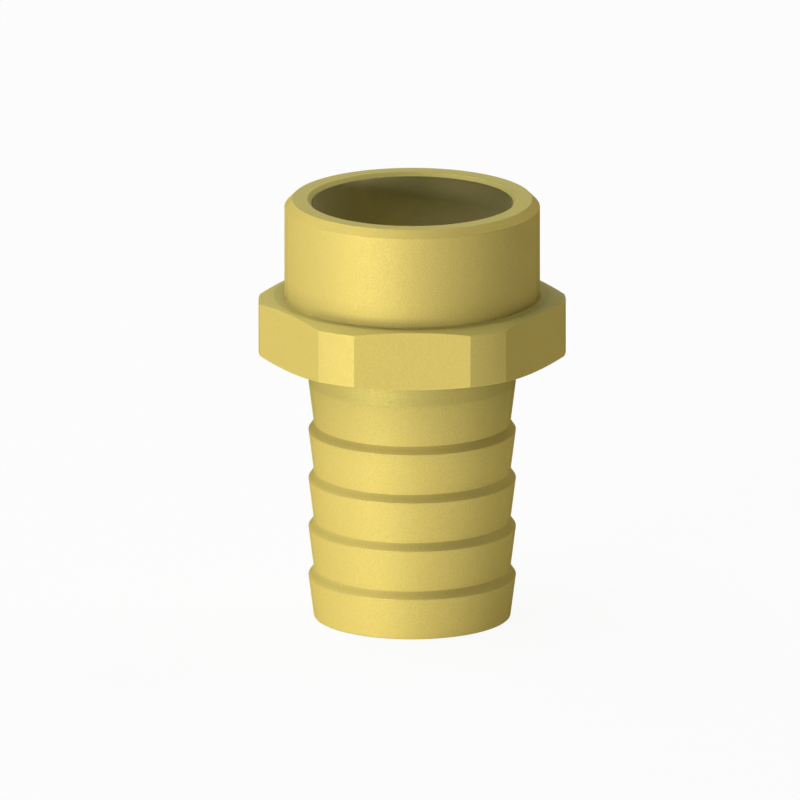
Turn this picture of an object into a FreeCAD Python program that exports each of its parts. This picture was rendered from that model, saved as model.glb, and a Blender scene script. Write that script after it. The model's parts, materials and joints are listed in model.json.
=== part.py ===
# Hose barb tail in brass: a barbed spigot for a 25 mm hose, a spanner hexagon
# and a plain collar of 1 inch pipe size, turned from one bar with a bore right through.
#
# Millimetres. The part stands on its hose end: the origin is on the axis in the plane
# of that end face, +Z runs up the axis to the collar, and two flats of the hexagon
# face -Y and +Y, so that two of its corners point along -X and +X.

import FreeCAD
import Part
import math
import os

# Barbed tail
crest_diameter = 27.0
barb_depth = 0.7
barb_count = 5
barb_taper_length = 5.5
barb_bevel_length = 1.0
tail_end_break = 0.1
neck_length = 3.45

# Spanner hexagon
across_flats = 37.0
corner_trim = 1.36
hexagon_height = 8.0
chamfer_inset = 0.5
chamfer_angle = 15.0

# Pipe collar
collar_diameter = 33.25
collar_length = 13.0
rim_chamfer = 1.0

# Bore, drilled from both ends
collar_wall = 3.475
counterbore_depth = 15.5
mouth_chamfer = 0.5
drill_point_angle = 118.0
tail_wall = 2.3
exit_chamfer = 0.5

# Radii and heights that follow from the sizes above
crest_radius = crest_diameter / 2
root_radius = crest_radius - barb_depth
collar_radius = collar_diameter / 2
waterway_radius = root_radius - tail_wall
counterbore_radius = collar_radius - collar_wall

barb_pitch = barb_taper_length + barb_bevel_length
neck_start = barb_count * barb_pitch - barb_bevel_length
hexagon_bottom = neck_start + neck_length
hexagon_top = hexagon_bottom + hexagon_height
collar_top = hexagon_top + collar_length
counterbore_floor = collar_top - counterbore_depth

axis_start = FreeCAD.Vector(0, 0, 0)
axis_direction = FreeCAD.Vector(0, 0, 1)


def turned(outline):
    """Turn a closed outline of (radius, height) points once round the axis."""
    points = [FreeCAD.Vector(radius, 0, height) for radius, height in outline]
    section = Part.Face(Part.makePolygon(points + points[:1]))
    return section.revolve(axis_start, axis_direction, 360)


def barbed_outline():
    """The barbs from the hose end upwards: each widens to its crest, then bevels back."""
    outline = [(root_radius - tail_end_break, 0), (root_radius, tail_end_break)]
    for barb in range(barb_count):
        barb_start = barb * barb_pitch
        if barb > 0:
            outline.append((root_radius, barb_start))
        outline.append((crest_radius, barb_start + barb_taper_length))
    return outline


def turned_body():
    """The barbed tail, its neck and the collar as one turned blank, before drilling."""
    outline = [(0, 0)]
    outline += barbed_outline()
    outline += [
        (crest_radius, hexagon_bottom),
        (collar_radius, hexagon_bottom),
        (collar_radius, collar_top - rim_chamfer),
        (collar_radius - rim_chamfer, collar_top),
        (0, collar_top),
    ]
    return turned(outline)


def hexagon():
    """The hexagon: six flats, its corners turned down and chamfered above and below."""
    corner_radius = across_flats / 2 / math.cos(math.radians(30))
    turned_radius = corner_radius - corner_trim
    chamfer_start = across_flats / 2 - chamfer_inset
    chamfer_rise = (turned_radius - chamfer_start) * math.tan(math.radians(chamfer_angle))

    corners = []
    for corner in range(6):
        angle = math.radians(60 * corner)
        x = corner_radius * math.cos(angle)
        y = corner_radius * math.sin(angle)
        corners.append(FreeCAD.Vector(x, y, hexagon_bottom))
    flats = Part.Face(Part.makePolygon(corners + corners[:1]))
    prism = flats.extrude(axis_direction * hexagon_height)

    blank = turned([
        (0, hexagon_bottom),
        (chamfer_start, hexagon_bottom),
        (turned_radius, hexagon_bottom + chamfer_rise),
        (turned_radius, hexagon_top - chamfer_rise),
        (chamfer_start, hexagon_top),
        (0, hexagon_top),
    ])
    return prism.common(blank)


def counterbore():
    """The wide hole drilled down the collar, with its mouth chamfer and drill point."""
    point_height = counterbore_radius / math.tan(math.radians(drill_point_angle / 2))
    return turned([
        (0, collar_top),
        (counterbore_radius + mouth_chamfer, collar_top),
        (counterbore_radius, collar_top - mouth_chamfer),
        (counterbore_radius, counterbore_floor),
        (0, counterbore_floor - point_height),
    ])


def waterway():
    """The narrower hole drilled up the tail until it opens into the counterbore."""
    return turned([
        (0, 0),
        (waterway_radius + exit_chamfer, 0),
        (waterway_radius, exit_chamfer),
        (waterway_radius, counterbore_floor),
        (0, counterbore_floor),
    ])


def hose_tail():
    """The whole piece: the turned body and its hexagon, drilled from both ends."""
    solid = turned_body().fuse(hexagon())
    solid = solid.cut(counterbore()).cut(waterway())
    return solid.removeSplitter()


os.makedirs("parts", exist_ok=True)
hose_tail().exportStep("parts/hose_tail.step")
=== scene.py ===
import json
import math

import bpy
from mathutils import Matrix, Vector

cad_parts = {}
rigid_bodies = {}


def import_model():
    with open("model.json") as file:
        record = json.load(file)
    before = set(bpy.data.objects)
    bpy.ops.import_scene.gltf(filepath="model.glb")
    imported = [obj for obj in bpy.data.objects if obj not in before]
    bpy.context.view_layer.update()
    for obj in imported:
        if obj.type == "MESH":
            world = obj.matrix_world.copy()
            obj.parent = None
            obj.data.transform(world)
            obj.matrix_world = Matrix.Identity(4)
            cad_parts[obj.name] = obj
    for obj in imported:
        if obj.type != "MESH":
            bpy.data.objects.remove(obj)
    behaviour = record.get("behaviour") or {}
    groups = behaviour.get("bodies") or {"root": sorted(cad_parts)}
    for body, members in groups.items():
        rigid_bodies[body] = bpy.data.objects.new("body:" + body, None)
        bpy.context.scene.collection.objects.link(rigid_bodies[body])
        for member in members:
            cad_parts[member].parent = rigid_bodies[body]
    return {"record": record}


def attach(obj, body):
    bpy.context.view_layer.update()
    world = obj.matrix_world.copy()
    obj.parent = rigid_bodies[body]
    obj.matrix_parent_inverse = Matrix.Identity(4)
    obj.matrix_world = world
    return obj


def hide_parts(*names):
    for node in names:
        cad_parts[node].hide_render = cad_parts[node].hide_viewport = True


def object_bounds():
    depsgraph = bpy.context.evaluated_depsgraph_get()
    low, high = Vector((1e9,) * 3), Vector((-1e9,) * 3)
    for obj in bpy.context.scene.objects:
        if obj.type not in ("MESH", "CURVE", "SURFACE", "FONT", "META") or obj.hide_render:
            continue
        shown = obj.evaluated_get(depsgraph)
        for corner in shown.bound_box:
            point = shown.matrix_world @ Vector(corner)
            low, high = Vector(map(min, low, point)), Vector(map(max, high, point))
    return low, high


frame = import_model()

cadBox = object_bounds()
mm = 0.001

# Sizes that the frame already holds
mounts = {mount["name"]: mount for mount in frame["record"]["mounts"]}


def mountRadius(name):
    return mounts[name]["dims"]["r_mm"] * mm


def mountEnds(name):
    middle = mounts[name]["pos_m"][2]
    half = mounts[name]["dims"]["length_mm"] * mm / 2
    return middle - half, middle + half


crestRadius = mountRadius("hose_neck")
collarRadius = mountRadius("pipe_collar")
boreRadius = mountRadius("counterbore")
waterwayRadius = mountRadius("waterway")
flatDistance = mounts["spanner_flat_back"]["pos_m"][1]

neckStart = mountEnds("hose_neck")[0]
hexBottom = mounts["hexagon_underside"]["pos_m"][2]
hexTop = mounts["hexagon_shoulder"]["pos_m"][2]
boreFloor = mountEnds("counterbore")[0]
topFace = cadBox[1].z
cornerRadius = min(-cadBox[0].x, cadBox[1].x)


# Small helpers

def deselectAll():
    if bpy.context.object and bpy.context.object.mode != "OBJECT":
        bpy.ops.object.mode_set(mode="OBJECT")
    bpy.ops.object.select_all(action="DESELECT")


def selectFaces(piece, wanted):
    # leaves the piece in edit mode with only the wanted faces selected
    bpy.ops.object.mode_set(mode="EDIT")
    bpy.ops.mesh.select_mode(type="FACE")
    bpy.ops.mesh.select_all(action="DESELECT")
    bpy.ops.object.mode_set(mode="OBJECT")
    for face in piece.data.polygons:
        face.select = wanted(face)
    bpy.ops.object.mode_set(mode="EDIT")


def fromAxis(point):
    return math.hypot(point.x, point.y)


# The turned body: one ring of edges is pulled along the section and back to where it began

hoseTail = {
    "segments": 216,             # round the axis
    "barbs": 5,
    "barbDepth": 0.7 * mm,
    "barbBevel": 1.0 * mm,
    "endBreak": 0.1 * mm,
    "exitChamfer": 0.5 * mm,
    "mouthChamfer": 0.5 * mm,
    "rimChamfer": 1.0 * mm,
    "drillPoint": math.radians(118),
    "hexChamferInset": 0.5 * mm,
    "hexChamfer": math.radians(15),
    "footRound": 0.25 * mm,      # left by the tool's nose in the corner under the collar
    "footSteps": 4,
    "edgeRound": 0.06 * mm,      # every edge is broken this much
    "edgeSteps": 3,
    "roundAbove": math.radians(4),
    "weldWithin": 0.001 * mm,    # points closer than this are one
    "cutWithin": 0.0001 * mm,
    "slack": 0.1 * mm,           # when faces are picked by their place
}


def barbPitch(size):
    return (neckStart + size["barbBevel"]) / size["barbs"]


def hexLand(size):
    # the radius at which a level face of the hexagon ends and its chamfer begins
    return flatDistance - size["hexChamferInset"]


def footArc(size):
    # points of the round under the collar, from the hexagon inwards and up
    points = []
    for step in range(size["footSteps"] + 1):
        turn = math.radians(90) * step / size["footSteps"]
        outwards = size["footRound"] * (1 - math.sin(turn))
        upwards = size["footRound"] * (1 - math.cos(turn))
        points.append((collarRadius + outwards, hexTop + upwards))
    return points


def sectionOutline(size):
    root = crestRadius - size["barbDepth"]
    pitch = barbPitch(size)
    land = hexLand(size)
    hexRise = (cornerRadius - land) * math.tan(size["hexChamfer"])
    stepRise = (boreRadius - waterwayRadius) / math.tan(size["drillPoint"] / 2)

    outline = [(waterwayRadius + size["exitChamfer"], 0)]
    outline += [(root - size["endBreak"], 0), (root, size["endBreak"])]
    for barb in range(size["barbs"]):
        if barb > 0:
            outline.append((root, barb * pitch))
        outline.append((crestRadius, (barb + 1) * pitch - size["barbBevel"]))
    outline += [
        (crestRadius, hexBottom),
        (land, hexBottom),
        (cornerRadius, hexBottom + hexRise),
        (cornerRadius, hexTop - hexRise),
        (land, hexTop),
        *footArc(size),
        (collarRadius, topFace - size["rimChamfer"]),
        (collarRadius - size["rimChamfer"], topFace),
        (boreRadius + size["mouthChamfer"], topFace),
        (boreRadius, topFace - size["mouthChamfer"]),
        (boreRadius, boreFloor),
        (waterwayRadius, boreFloor - stepRise),
        (waterwayRadius, size["exitChamfer"]),
    ]
    return outline


def turnBody(size):
    outline = sectionOutline(size)
    radius, height = outline[0]
    deselectAll()
    bpy.ops.mesh.primitive_circle_add(vertices=size["segments"], radius=radius, location=(0, 0, 0))
    piece = bpy.context.object
    piece.name = "hose_tail_brass"
    bpy.ops.object.mode_set(mode="EDIT")
    bpy.ops.mesh.select_all(action="SELECT")
    for nextRadius, nextHeight in outline[1:] + outline[:1]:
        lift = (0, 0, nextHeight - height)
        bpy.ops.mesh.extrude_edges_move(TRANSFORM_OT_translate={"value": lift})
        grow = nextRadius / radius
        bpy.ops.transform.resize(value=(grow, grow, 1), center_override=(0, 0, nextHeight))
        radius, height = nextRadius, nextHeight
    bpy.ops.mesh.select_all(action="SELECT")
    bpy.ops.mesh.remove_doubles(threshold=size["weldWithin"])
    bpy.ops.mesh.normals_make_consistent(inside=False)
    bpy.ops.object.mode_set(mode="OBJECT")
    return piece


def millFlats(piece, size):
    def onHexBlank(face):
        inside = hexBottom < face.center.z < hexTop
        return inside and fromAxis(face.center) > hexLand(size) - size["slack"]

    for degrees in range(30, 360, 60):
        angle = math.radians(degrees)
        normal = Vector((math.cos(angle), math.sin(angle), 0))
        selectFaces(piece, onHexBlank)
        bpy.ops.mesh.bisect(
            plane_co=normal * flatDistance, plane_no=normal,
            use_fill=True, clear_outer=True, threshold=size["cutWithin"])
        bpy.ops.object.mode_set(mode="OBJECT")
    bpy.ops.object.mode_set(mode="EDIT")
    bpy.ops.mesh.select_all(action="SELECT")
    bpy.ops.mesh.normals_make_consistent(inside=False)
    bpy.ops.object.mode_set(mode="OBJECT")


def roundEdges(piece, size):
    bevel = piece.modifiers.new("edges", "BEVEL")
    bevel.width = size["edgeRound"]
    bevel.segments = size["edgeSteps"]
    bevel.limit_method = "ANGLE"
    bevel.angle_limit = size["roundAbove"]
    bevel.use_clamp_overlap = False
    bevel.harden_normals = True
    bpy.ops.object.shade_smooth()
    bpy.ops.object.modifier_apply(modifier=bevel.name)


tail = turnBody(hoseTail)
print("turned body:", len(tail.data.polygons), "faces")
millFlats(tail, hoseTail)
print("hexagon milled:", len(tail.data.polygons), "faces")


# Brass: one alloy in five finishes, by the tool that cut the face and the wear that it had since, with
# painted light and shade in their colours.
# Their five materials share the node groups below, all on Object coordinates.

alloy = {
    "clean": (0.685, 0.544, 0.147, 1),
    "tarnished": (0.36, 0.32, 0.10, 1),    # duller and greener, for tarnish and also for painted shade in corners
    "grimy": (0.13, 0.11, 0.04, 1),        # painted shade, darkest at the foot of the collar and in the mouth
    "rubbed": (0.80, 0.65, 0.22, 1),       # bared along the edges by handling
    "metallic": 0.4,                       # a dull skin hides part of the bare metal
    "patchScale": 90,                      # patches of colour about 11 mm across
    "patchDetail": 3,
    "grainDetail": 1.5,
    "markDetail": 1,
    "drawnStretch": 0.04,                  # drawn lines are 25 times longer than they are wide
    "wearWidth": 0.35 * mm,
    "wearScale": 700,                      # the wear comes and goes every 1.4 mm or so
    "wearDetail": 2,
    "wearGain": 8.0,
    "wearSamples": 6,
    "recessPitch": 1,                      # a metre is past both ends, so that a painted shade comes once
}
markSockets = {"Position": "Vector", "Scale": "Float"}


def addNode(tree, kind, **settings):
    node = tree.nodes.new(kind)
    for name, value in settings.items():
        setattr(node, name, value)
    return node


def newGroup(name, inputs, output, outputKind):
    tree = bpy.data.node_groups.new(name, "ShaderNodeTree")
    for label, kind in inputs.items():
        tree.interface.new_socket(name=label, in_out="INPUT", socket_type="NodeSocket" + kind)
    tree.interface.new_socket(name=output, in_out="OUTPUT", socket_type="NodeSocket" + outputKind)
    given = addNode(tree, "NodeGroupInput").outputs
    result = addNode(tree, "NodeGroupOutput").inputs[output]
    return tree, given, result


def placeGroup(tree, group, position, **values):
    node = addNode(tree, "ShaderNodeGroup", node_tree=group)
    tree.links.new(position, node.inputs["Position"])
    for label, value in values.items():
        node.inputs[label].default_value = value
    return node.outputs[0]


def maths(tree, operation, *values, clamp=False):
    node = addNode(tree, "ShaderNodeMath", operation=operation, use_clamp=clamp)
    for socket, value in zip(node.inputs, values):
        if isinstance(value, (int, float)):
            socket.default_value = value
        else:
            tree.links.new(value, socket)
    return node.outputs[0]


def blendColours(tree, share, first, second):
    # sockets 0, 6 and 7 are the factor and the two colours, and output 2 is the blend
    node = addNode(tree, "ShaderNodeMix", data_type="RGBA")
    for place, value in {0: share, 6: first, 7: second}.items():
        if isinstance(value, tuple):
            node.inputs[place].default_value = value
        else:
            tree.links.new(value, node.inputs[place])
    return node.outputs[2]


def addNoise(tree, where, scale, detail, dimensions="3D"):
    # scale is a number or a socket; in one dimension the noise runs along a value
    node = addNode(tree, "ShaderNodeTexNoise", noise_dimensions=dimensions)
    node.inputs["Detail"].default_value = detail
    tree.links.new(where, node.inputs["W" if dimensions == "1D" else "Vector"])
    if isinstance(scale, (int, float)):
        node.inputs["Scale"].default_value = scale
    else:
        tree.links.new(scale, node.inputs["Scale"])
    return node.outputs["Fac"]


def radiusAndHeight(tree, position):
    flatten = addNode(tree, "ShaderNodeVectorMath", operation="MULTIPLY")
    flatten.inputs[1].default_value = (1, 1, 0)
    radius = addNode(tree, "ShaderNodeVectorMath", operation="LENGTH")
    split = addNode(tree, "ShaderNodeSeparateXYZ")
    tree.links.new(position, flatten.inputs[0])
    tree.links.new(flatten.outputs[0], radius.inputs[0])
    tree.links.new(position, split.inputs[0])
    return radius.outputs["Value"], split.outputs["Z"]


def makeGrain():
    # a fine mottle with no direction, which satin brass shows in its highlights
    tree, given, result = newGroup("satinGrain", markSockets, "Grain", "Float")
    grain = addNoise(tree, given["Position"], given["Scale"], alloy["grainDetail"])
    tree.links.new(grain, result)
    return tree


def makeRingMarks():
    # rings left by the tool: they step with height on a wall and with radius on a face
    tree, given, result = newGroup("ringMarks", markSockets, "Marks", "Float")
    radius, height = radiusAndHeight(tree, given["Position"])
    travel = maths(tree, "ADD", radius, height)
    rings = addNoise(tree, travel, given["Scale"], alloy["markDetail"], dimensions="1D")
    tree.links.new(rings, result)
    return tree


def makeDrawnLines():
    # straight lines up the axis, as the bar was drawn
    tree, given, result = newGroup("drawnLines", markSockets, "Marks", "Float")
    stretch = addNode(tree, "ShaderNodeVectorMath", operation="MULTIPLY")
    stretch.inputs[1].default_value = (1, 1, alloy["drawnStretch"])
    tree.links.new(given["Position"], stretch.inputs[0])
    lines = addNoise(tree, stretch.outputs[0], given["Scale"], alloy["markDetail"])
    tree.links.new(lines, result)
    return tree


def makeCornerShade():
    # painted shade: darkening in the corner at one radius and height, and at each pitch from it
    sockets = {"Position": "Vector", "Radius": "Float", "Height": "Float", "Reach": "Float",
               "Pitch": "Float", "Side": "Vector", "Middle": "Float"}
    tree, given, result = newGroup("recess", sockets, "Shade", "Float")
    radius, height = radiusAndHeight(tree, given["Position"])
    outwards = maths(tree, "SUBTRACT", radius, given["Radius"])
    above = maths(tree, "MULTIPLY", given["Pitch"], 0.5)
    below = maths(tree, "MULTIPLY", given["Pitch"], -0.5)
    upwards = maths(tree, "WRAP", maths(tree, "SUBTRACT", height, given["Height"]), above, below)
    squares = maths(tree, "MULTIPLY_ADD", upwards, upwards, maths(tree, "MULTIPLY", outwards, outwards))
    distance = maths(tree, "SQRT", squares)
    near = maths(tree, "SUBTRACT", 1.0, maths(tree, "DIVIDE", distance, given["Reach"]), clamp=True)

    # the painted shade is deeper on one side of the piece and fades away from it
    across = addNode(tree, "ShaderNodeVectorMath", operation="DOT_PRODUCT")
    tree.links.new(given["Position"], across.inputs[0])
    tree.links.new(given["Side"], across.inputs[1])
    kept = maths(tree, "ADD", across.outputs["Value"], given["Middle"], clamp=True)
    tree.links.new(maths(tree, "MULTIPLY", near, kept), result)
    return tree


def makeEdgeWear():
    # 1 along an edge, broken up by noise
    sockets = {"Position": "Vector", "Width": "Float"}
    tree, given, result = newGroup("edgeWear", sockets, "Wear", "Float")
    rounded = addNode(tree, "ShaderNodeBevel", samples=alloy["wearSamples"])
    surface = addNode(tree, "ShaderNodeNewGeometry")
    facing = addNode(tree, "ShaderNodeVectorMath", operation="DOT_PRODUCT")
    tree.links.new(given["Width"], rounded.inputs["Radius"])
    tree.links.new(rounded.outputs[0], facing.inputs[0])
    tree.links.new(surface.outputs["Normal"], facing.inputs[1])
    bend = maths(tree, "SUBTRACT", 1.0, facing.outputs["Value"])
    edge = maths(tree, "MULTIPLY", bend, alloy["wearGain"], clamp=True)
    patches = addNoise(tree, given["Position"], alloy["wearScale"], alloy["wearDetail"])
    tree.links.new(maths(tree, "MULTIPLY", edge, patches), result)
    return tree


def makeColourDrift():
    # the colour wanders from one tone a little way towards another
    sockets = {"Position": "Vector", "Scale": "Float",
               "Tone": "Color", "Other": "Color", "Amount": "Float"}
    tree, given, result = newGroup("colourDrift", sockets, "Colour", "Color")
    patches = addNoise(tree, given["Position"], given["Scale"], alloy["patchDetail"])
    share = maths(tree, "MULTIPLY", patches, given["Amount"])
    tree.links.new(blendColours(tree, share, given["Tone"], given["Other"]), result)
    return tree


satinGrain = makeGrain()
ringMarks = makeRingMarks()
drawnLines = makeDrawnLines()
recess = makeCornerShade()
edgeWear = makeEdgeWear()
colourDrift = makeColourDrift()


def makeBrass(name, finish):
    material = bpy.data.materials.new(name)
    material.use_nodes = True
    tree = material.node_tree
    shader = tree.nodes["Principled BSDF"]
    shader.inputs["Metallic"].default_value = alloy["metallic"]
    shader.inputs["Specular IOR Level"].default_value = finish["skinShine"]
    shader.inputs["Specular Tint"].default_value = finish["edgeTint"]
    position = addNode(tree, "ShaderNodeTexCoord").outputs["Object"]

    grain = placeGroup(tree, satinGrain, position, Scale=finish["grainScale"])
    marks = placeGroup(tree, finish["marks"], position, Scale=finish["markScale"])
    wear = placeGroup(tree, edgeWear, position, Width=alloy["wearWidth"])
    colour = placeGroup(
        tree, colourDrift, position, Scale=alloy["patchScale"],
        Tone=finish["colour"], Other=alloy["tarnished"], Amount=finish["drift"])

    # colour: tarnish in the grain, painted shade in corners and recesses, and rubbed metal on the edges
    stained = maths(tree, "MULTIPLY", grain, finish["grainStain"])
    colour = blendColours(tree, stained, colour, alloy["tarnished"])
    # painted shade: each corner darkens the colour towards its shade colour
    for corner in finish["recesses"]:
        shade = placeGroup(
            tree, recess, position, Radius=corner["radius"], Height=corner["height"],
            Reach=corner["reach"], Pitch=corner.get("pitch", alloy["recessPitch"]),
            Side=corner.get("side", (0, 0, 0)), Middle=corner.get("middle", 1))
        shade = maths(tree, "MULTIPLY", shade, corner["depth"])
        colour = blendColours(tree, shade, colour, corner.get("stain", alloy["tarnished"]))
    rubbed = maths(tree, "MULTIPLY", wear, finish["rub"])
    colour = blendColours(tree, rubbed, colour, alloy["rubbed"])
    tree.links.new(colour, shader.inputs["Base Color"])

    # roughness: the grain and the marks scatter it, and rubbing smooths it
    rough = maths(tree, "MULTIPLY_ADD", grain, finish["grainRough"], finish["roughness"])
    rough = maths(tree, "MULTIPLY_ADD", marks, finish["markRough"], rough)
    rough = maths(tree, "MULTIPLY_ADD", wear, -finish["rubSmooth"], rough)
    tree.links.new(rough, shader.inputs["Roughness"])

    # relief, with its height in metres
    relief = maths(tree, "MULTIPLY", grain, finish["grainDepth"])
    relief = maths(tree, "MULTIPLY_ADD", marks, finish["markDepth"], relief)
    bump = addNode(tree, "ShaderNodeBump")
    bump.inputs["Distance"].default_value = 1.0
    tree.links.new(relief, bump.inputs["Height"])
    tree.links.new(bump.outputs["Normal"], shader.inputs["Normal"])
    return material


# where painted shade lies: each is deepest at one radius and height and fades over its reach.
# side and middle say how it fades across the piece, as in the corner shade group, and a pitch repeats
# it.

# painted shade at the foot of the collar, deeper on the left front
collarFoot = {
    "radius": collarRadius, "height": hexTop, "reach": 3.0 * mm, "depth": 0.43,
    "side": (-40, -4, 0), "middle": 0.5,
}
collarSeam = {
    "radius": collarRadius, "height": hexTop, "reach": 1.0 * mm, "depth": 0.30,
    "side": (-30, -12, 0), "middle": 0.5,
}
collarDarkShade = {
    "radius": collarRadius, "height": hexTop + 0.3 * mm, "reach": 1.1 * mm, "depth": 0.48,
    "side": (-88, -288, 0), "middle": -4, "stain": alloy["grimy"],
}
# painted shade under the hexagon, over the neck and the top barb
underHexagon = {"radius": crestRadius, "height": hexBottom, "reach": 12.0 * mm, "depth": 0.50}
neckTop = {"radius": crestRadius, "height": hexBottom, "reach": 4.5 * mm, "depth": 0.35}
# painted shade round the mouth and down into the bore
mouthEdge = {
    "radius": boreRadius, "height": topFace, "reach": 1.0 * mm, "depth": 0.80,
    "side": (107, 142, 0), "middle": -1,
}
mouthShade = dict(mouthEdge, reach=6.0 * mm, depth=0.90)
mouthDarkShade = dict(mouthEdge, reach=4.0 * mm, depth=0.85, stain=alloy["grimy"])
# painted shade at the root of every barb
behindBarbs = {
    "radius": crestRadius - hoseTail["barbDepth"] / 2,
    "height": neckStart + hoseTail["barbBevel"] / 2,
    "reach": 0.9 * mm, "depth": 0.32,
    "side": (-45, -28, 0), "middle": 0.6,
    "pitch": barbPitch(hoseTail),          # it comes back at every barb
}

turnedFinish = {
    "colour": (0.70, 0.557, 0.155, 1),
    "drift": 0.10,
    "roughness": 0.44,
    "grainScale": 4200,                    # mottles about 0.25 mm across
    "grainRough": 0.36,
    "grainStain": 0.12,
    "grainDepth": 0.029 * mm,
    "marks": ringMarks,
    "markScale": 5000,                     # rings about 0.2 mm apart
    "markRough": 0.03,
    "markDepth": 0.0004 * mm,
    "rub": 0.35,
    "rubSmooth": 0.06,
    "skinShine": 0.0,                      # the skin swallows glancing reflections
    "edgeTint": (0, 0, 0, 1),
    "recesses": [collarFoot, collarSeam, collarDarkShade],
}

# the level faces and the mouth's chamfer are coloured duller and greener, painted shade for the dimmer
# light on faces that look up, and shine at a glancing angle
facedFinish = dict(
    turnedFinish,
    colour=(0.612, 0.530, 0.153, 1),
    skinShine=0.20,
    edgeTint=(0.7, 0.7, 0.7, 1),
    recesses=[collarFoot, collarSeam, collarDarkShade, mouthEdge])

# the barbs and the neck are coloured a little lighter than the collar: painted light, for the light
# their down-tilted faces catch from below
barbFinish = dict(
    turnedFinish,
    colour=(0.755, 0.600, 0.163, 1),
    roughness=0.24,
    grainRough=0.70,
    grainDepth=0.027 * mm,
    recesses=[underHexagon, neckTop, behindBarbs])

milledFinish = dict(
    turnedFinish,
    colour=alloy["clean"],
    drift=0.08,
    roughness=0.325,
    grainScale=3500,
    grainRough=0.55,
    grainStain=0.0,
    grainDepth=0.020 * mm,
    marks=drawnLines,
    markScale=3000,
    markRough=0.04,
    markDepth=0.0006 * mm,
    recesses=[])

# the bore was never polished; it is coloured paler than the rest, so that bounced light lightens its
# shade: painted light
drilledFinish = dict(
    turnedFinish,
    colour=(0.68, 0.625, 0.34, 1),
    drift=0.15,
    roughness=0.54,
    grainScale=3500,
    grainRough=0.20,
    grainStain=0.0,
    grainDepth=0.008 * mm,
    markScale=3500,                        # a drill feeds faster than the lathe's tool
    markRough=0.05,
    markDepth=0.0010 * mm,
    rub=0.0,
    rubSmooth=0.0,
    recesses=[mouthShade, mouthDarkShade])

finishes = {
    "turned_brass": turnedFinish,
    "faced_brass": facedFinish,
    "barb_brass": barbFinish,
    "milled_brass": milledFinish,
    "drilled_brass": drilledFinish,
}


# A face takes its finish by its place and by the way that its normal points

faceLimits = {
    "upright": 0.01,             # an upright face's normal rises less than this
    "level": 0.9,                # and a level face's normal more than this
    "inwards": 0.1,              # a face towards the axis points inwards more than this
}


def onFlat(face, size):
    upright = abs(face.normal.z) < faceLimits["upright"]
    return upright and abs(face.center.dot(face.normal) - flatDistance) < size["slack"]


def facesAxis(face):
    outwards = face.center.x * face.normal.x + face.center.y * face.normal.y
    return outwards < -faceLimits["inwards"] * fromAxis(face.center)


def whichFinish(face, size):
    onMouth = face.center.z > topFace - size["mouthChamfer"]
    if facesAxis(face) and not onMouth:
        return "drilled_brass"
    if onFlat(face, size):
        return "milled_brass"
    if face.normal.z > faceLimits["level"] or facesAxis(face):
        return "faced_brass"
    return "barb_brass" if face.center.z < hexBottom else "turned_brass"


def finishFaces(piece, size):
    for name, finish in finishes.items():
        piece.data.materials.append(makeBrass(name, finish))
    order = list(finishes)
    for face in piece.data.polygons:
        face.material_index = order.index(whichFinish(face, size))


finishFaces(tail, hoseTail)
roundEdges(tail, hoseTail)
print("edges rounded:", len(tail.data.polygons), "faces in", len(tail.data.materials), "finishes")

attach(tail, "root")
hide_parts("hose_tail")


# Floor: white to the camera and in reflections, and a plain white surface to all other light

studio = {
    "floorSide": 3,
    "floorColour": (0.83, 0.83, 0.83, 1),
    "whiteShare": 0.93,                    # what is left keeps the piece's soft shadow
    "surroundings": (0.005, 0.005, 0.005, 1),
    "lampDistance": 0.6,
}


def seenDirectly(tree):
    # 1 for camera, glossy and transmission rays
    rays = addNode(tree, "ShaderNodeLightPath").outputs
    mirrored = maths(tree, "MAXIMUM", rays["Is Glossy Ray"], rays["Is Transmission Ray"])
    return maths(tree, "MAXIMUM", rays["Is Camera Ray"], mirrored)


def makeFloorPaint(size):
    paint = bpy.data.materials.new("white_floor")
    paint.use_nodes = True
    tree = paint.node_tree
    lit = tree.nodes["Principled BSDF"]
    lit.inputs["Base Color"].default_value = size["floorColour"]
    lit.inputs["Roughness"].default_value = 1
    lit.inputs["Specular IOR Level"].default_value = 0
    white = addNode(tree, "ShaderNodeEmission")
    mix = addNode(tree, "ShaderNodeMixShader")
    share = maths(tree, "MULTIPLY", seenDirectly(tree), size["whiteShare"])
    tree.links.new(share, mix.inputs["Fac"])
    tree.links.new(lit.outputs[0], mix.inputs[1])
    tree.links.new(white.outputs[0], mix.inputs[2])
    tree.links.new(mix.outputs[0], tree.nodes["Material Output"].inputs["Surface"])
    return paint


deselectAll()
bpy.ops.mesh.primitive_plane_add(size=studio["floorSide"], location=(0, 0, 0))
floor = bpy.context.object
floor.name = "floor"
floor.data.materials.append(makeFloorPaint(studio))


# Camera: a parallel view, square on to one flat and a little above level

view = {
    "elevation": math.radians(15),
    "millimetresPerPixel": 0.1301,
    "framePixels": 800,
    "axisColumn": 412.18,        # where the axis and the top face's centre fall in the frame
    "topRow": 198.8,
    "distance": 0.6,
}


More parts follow.
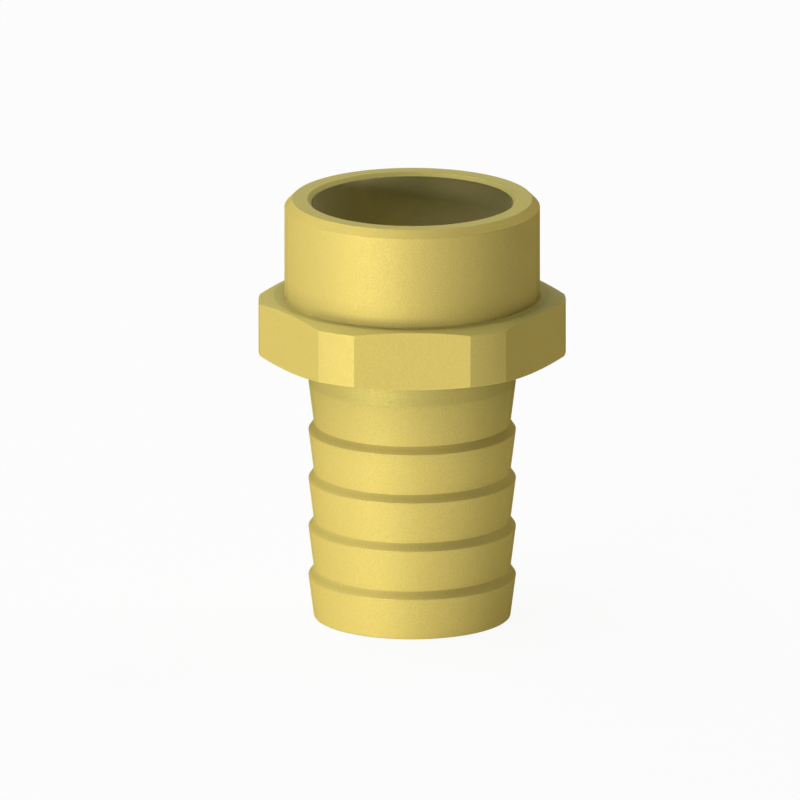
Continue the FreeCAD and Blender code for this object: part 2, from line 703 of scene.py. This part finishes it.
def addCamera(size):
    pixel = size["millimetresPerPixel"] * mm
    middle = size["framePixels"] / 2
    right = (middle - size["axisColumn"]) * pixel
    up = (size["topRow"] - middle) * pixel / math.cos(size["elevation"])
    aim = Vector((right, 0, topFace + up))
    back = Vector((0, -math.cos(size["elevation"]), math.sin(size["elevation"])))
    deselectAll()
    bpy.ops.object.camera_add(location=aim + back * size["distance"])
    camera = bpy.context.object
    camera.rotation_euler = (-back).to_track_quat("-Z", "Y").to_euler()
    camera.data.type = "ORTHO"
    camera.data.ortho_scale = size["framePixels"] * pixel
    bpy.context.scene.camera = camera


addCamera(view)


# Light: five soft white lamps, the strongest of them low at the left front

lamps = {
    "key": {"azimuth": -37, "elevation": 5, "width": 0.4, "height": 0.12, "power": 3.02},
    "overhead": {"azimuth": -90, "elevation": 70, "width": 0.35, "height": 0.35, "power": 1.68},
    "leftBack": {"azimuth": -135, "elevation": 45, "width": 0.35, "height": 0.35, "power": 0.65},
    "rightBack": {"azimuth": 129, "elevation": 43, "width": 0.35, "height": 0.35, "power": 0.88},
    "back": {"azimuth": 180, "elevation": 20, "width": 0.35, "height": 0.35, "power": 0.32},
}


def addLamp(name, azimuth, elevation, width, height, power):
    around, above = math.radians(azimuth), math.radians(elevation)
    level = math.cos(above)
    away = Vector((math.sin(around) * level, -math.cos(around) * level, math.sin(above)))
    middle = Vector((0, 0, topFace / 2))
    bpy.ops.object.light_add(type="AREA", location=middle + away * studio["lampDistance"])
    lamp = bpy.context.object
    lamp.name = name
    lamp.rotation_euler = (-away).to_track_quat("-Z", "Y").to_euler()
    lamp.data.shape = "ELLIPSE"
    lamp.data.size = width
    lamp.data.size_y = height
    lamp.data.energy = power


for name, lamp in lamps.items():
    addLamp(name, **lamp)
print("studio:", len(lamps), "lamps")

world = bpy.data.worlds.new("studio")
bpy.context.scene.world = world
world.use_nodes = True
world.node_tree.nodes["Background"].inputs["Color"].default_value = studio["surroundings"]

bpy.context.scene.view_settings.view_transform = "Standard"
